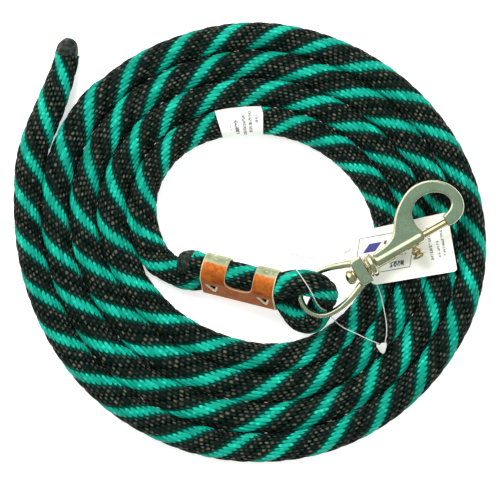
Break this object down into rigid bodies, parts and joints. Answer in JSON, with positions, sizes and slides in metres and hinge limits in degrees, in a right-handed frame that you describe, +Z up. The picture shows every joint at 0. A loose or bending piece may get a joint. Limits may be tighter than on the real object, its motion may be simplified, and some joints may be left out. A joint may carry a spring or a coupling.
{
  "type": "lead rope",
  "caption": "Coiled solid-braid lead rope with a swivel bolt snap at a clamped loop, melted ends, a printed label and a hang tag on a plastic fastener.",
  "frame": {"origin": "middle of the coil's footprint on the floor it lies on", "axes": "+Z up, square to the flat coil; +X towards the side where the snap lies; +Y towards the side with the label"},
  "size_m": [0.2736, 0.2546, 0.0475],
  "materials": {
    "rope_yarn": "glossy multifilament polypropylene yarn, black with two green-blue spiral stripes",
    "melted_polymer": "fused and slightly lumpy",
    "clamp_steel": "plated sheet, copper-brown flat, pale green-gold bends",
    "snap_metal": "polished plated casting",
    "snap_bright": "polished",
    "spring_steel": "drawn wire",
    "label_film": "printed film",
    "tag_card": "printed card",
    "clear_plastic": "clear nylon"
  },
  "bodies": {
    "coil": {"rope_coil": "rope_yarn", "rope_label": "label_film"},
    "tail": {"rope_tail": "rope_yarn", "tail_melted_tip": "melted_polymer"},
    "snap_end": {"rope_snap_end": "rope_yarn", "short_end_melted_tip": "melted_polymer", "rope_clamp": "clamp_steel", "tag_fastener_loop": "clear_plastic", "tag_fastener_head": "clear_plastic"},
    "eye": {"swivel_eye": "snap_metal"},
    "hook": {"hook_body": "snap_metal", "swivel_post": "snap_bright", "swivel_washer": "snap_bright", "return_spring": "spring_steel"},
    "bolt": {"spring_bolt": "snap_bright", "thumb_knob": "snap_bright"},
    "tag": {"hang_tag": "tag_card"}
  },
  "joints": [
    {"name": "tail_lift", "type": "hinge", "parent": "coil", "child": "tail", "pos_m": [-0.12911, 0.02812, 0.0076], "axis": [0.9991, -0.0436, 0], "range_deg": [0, 45]},
    {"name": "snap_end_lift", "type": "hinge", "parent": "coil", "child": "snap_end", "pos_m": [-0.04843, -0.01368, 0.0076], "axis": [-0.2399, -0.9708, 0], "range_deg": [0, 30]},
    {"name": "eye_tilt", "type": "hinge", "parent": "snap_end", "child": "eye", "pos_m": [0.03464, -0.03383, 0.0278], "axis": [0.2243, -0.9745, 0], "range_deg": [0, 18]},
    {"name": "hook_swivel", "type": "hinge", "parent": "eye", "child": "hook", "pos_m": [0.06369, -0.01705, 0.0278], "axis": [0.866, 0.5, 0], "range_deg": [0, 180]},
    {"name": "bolt_slide", "type": "slide", "parent": "hook", "child": "bolt", "axis": [-0.866, -0.5, 0], "range_m": [0, 0.01], "deforming": ["return_spring"]},
    {"name": "tag_turn", "type": "hinge", "parent": "snap_end", "child": "tag", "pos_m": [0.05925, -0.00335, 0.0183], "axis": [0.045, 0, 0.999], "range_deg": [-12, 12]}
  ]
}
